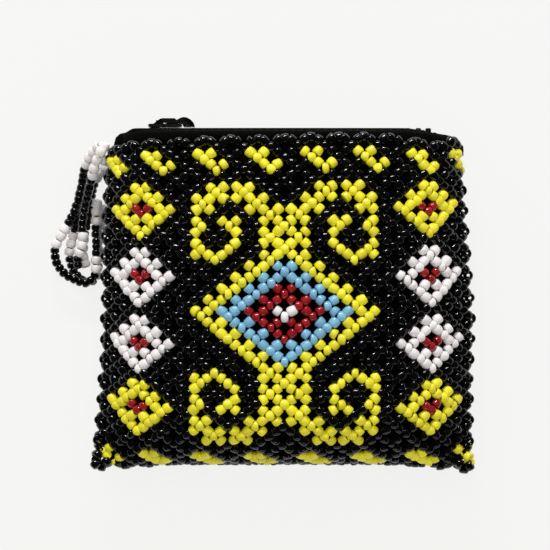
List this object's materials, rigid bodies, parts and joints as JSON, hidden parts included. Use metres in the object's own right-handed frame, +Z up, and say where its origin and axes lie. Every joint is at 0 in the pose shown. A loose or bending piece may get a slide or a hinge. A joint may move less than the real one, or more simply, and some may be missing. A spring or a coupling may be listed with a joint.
{
  "type": "beaded clutch",
  "caption": "Small netted bead pouch, stuffed plump, with a zip mouth, a sliding zip pull and a beaded strap loop at one corner. It lies on its back.",
  "frame": {"origin": "on the flat of the back that the clutch rests on, near the middle of the pouch", "axes": "+Z up out of the front face, +Y towards the zip, +X along the zip with the strap on the -X side"},
  "size_m": [0.121, 0.0983, 0.0289],
  "materials": {
    "black_beads": "glossy opaque glass",
    "white_beads": "satin opaque glass",
    "yellow_beads": "satin opaque glass",
    "blue_beads": "satin opaque glass",
    "red_beads": "glossy opaque glass",
    "black_cloth": "plain weave cotton",
    "black_plastic": "moulded zip teeth",
    "black_metal": "glossy black lacquer"
  },
  "bodies": {
    "purse": {"bead_net": "black_beads", "lining": "black_cloth", "centre_white": "white_beads", "ring_red": "red_beads", "ring_blue": "blue_beads", "ring_yellow": "yellow_beads", "scrolls_upper": "yellow_beads", "scrolls_lower": "yellow_beads", "small_diamond_1": "yellow_beads", "small_diamond_2": "white_beads", "small_diamond_3": "white_beads", "small_diamond_4": "yellow_beads", "small_diamond_5": "yellow_beads", "small_diamond_6": "white_beads", "small_diamond_7": "white_beads", "small_diamond_8": "yellow_beads", "small_heart_1": "red_beads", "small_heart_2": "red_beads", "small_heart_3": "red_beads", "small_heart_4": "red_beads", "small_heart_5": "red_beads", "small_heart_6": "red_beads", "small_heart_7": "red_beads", "small_heart_8": "red_beads", "hook_top_1": "yellow_beads", "hook_top_2": "yellow_beads", "hook_top_3": "yellow_beads", "hook_top_4": "yellow_beads", "hook_top_5": "yellow_beads", "hook_top_6": "yellow_beads", "hook_top_7": "yellow_beads", "hook_top_8": "yellow_beads", "hook_bottom_1": "yellow_beads", "hook_bottom_2": "yellow_beads", "hook_bottom_3": "yellow_beads", "hook_bottom_4": "yellow_beads", "hook_bottom_5": "yellow_beads", "hook_bottom_6": "yellow_beads", "hook_bottom_7": "yellow_beads", "hook_bottom_8": "yellow_beads", "zip_tape_front": "black_cloth", "zip_tape_back": "black_cloth", "zip_teeth_front": "black_plastic", "zip_teeth_back": "black_plastic", "top_stop_front": "black_metal", "top_stop_back": "black_metal", "bottom_stop": "black_metal", "strap_strand_1": "black_beads", "strap_strand_2": "black_beads", "strap_strand_3": "black_beads", "strap_strand_4": "black_beads"},
    "slider": {"slider_body": "black_metal"},
    "pull": {"pull_tab": "black_metal"}
  },
  "joints": [
    {"name": "zip_slide", "type": "slide", "parent": "purse", "child": "slider", "axis": [1, 0, 0], "range_m": [0, 0.067]},
    {"name": "pull_hinge", "type": "hinge", "parent": "slider", "child": "pull", "pos_m": [-0.0335, 0.04935, 0.0126], "axis": [0, 0, 1], "range_deg": [0, 170]}
  ]
}
